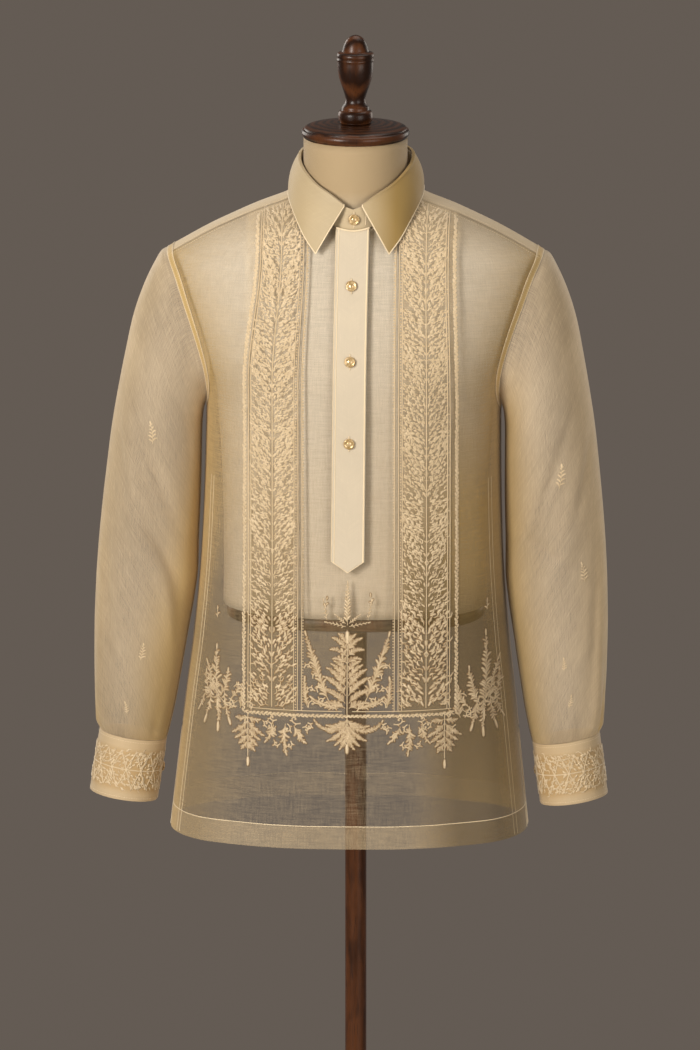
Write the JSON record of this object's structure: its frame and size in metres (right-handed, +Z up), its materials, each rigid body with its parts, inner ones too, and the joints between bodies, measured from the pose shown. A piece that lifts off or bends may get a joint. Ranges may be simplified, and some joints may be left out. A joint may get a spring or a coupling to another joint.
{
  "type": "barong tagalog shirt on dress form",
  "caption": "Long-sleeved sheer embroidered shirt with collar, half placket and cuffs, buttoned up on a limbless linen dress form with a wooden cap, pole and round base.",
  "frame": {"origin": "centre of the base's underside, on the floor", "axes": "+Z up, the shirt's front faces -Y, +X is the wearer's left"},
  "size_m": [0.6075, 0.365, 1.6644],
  "materials": {
    "sheer_cloth": "sheer pineapple-fibre weave with slubs",
    "firm_cloth": "the same cloth folded in layers",
    "button": "pearly gold",
    "linen": "plain natural linen",
    "dark_wood": "polished dark reddish wood"
  },
  "bodies": {
    "root": {"front": "sheer_cloth", "back": "sheer_cloth", "yoke": "sheer_cloth", "sleeve_left": "sheer_cloth", "sleeve_right": "sheer_cloth", "collar_stand": "firm_cloth", "collar_leaf": "firm_cloth", "placket": "firm_cloth", "cuff_left": "firm_cloth", "cuff_right": "firm_cloth", "button_1": "button", "button_2": "button", "button_3": "button", "button_4": "button", "cuff_button_left": "button", "cuff_button_right": "button", "form_torso": "linen", "bottom_plate": "dark_wood", "neck_cap": "dark_wood", "finial": "dark_wood", "pole": "dark_wood", "base": "dark_wood"}
  },
  "joints": []
}
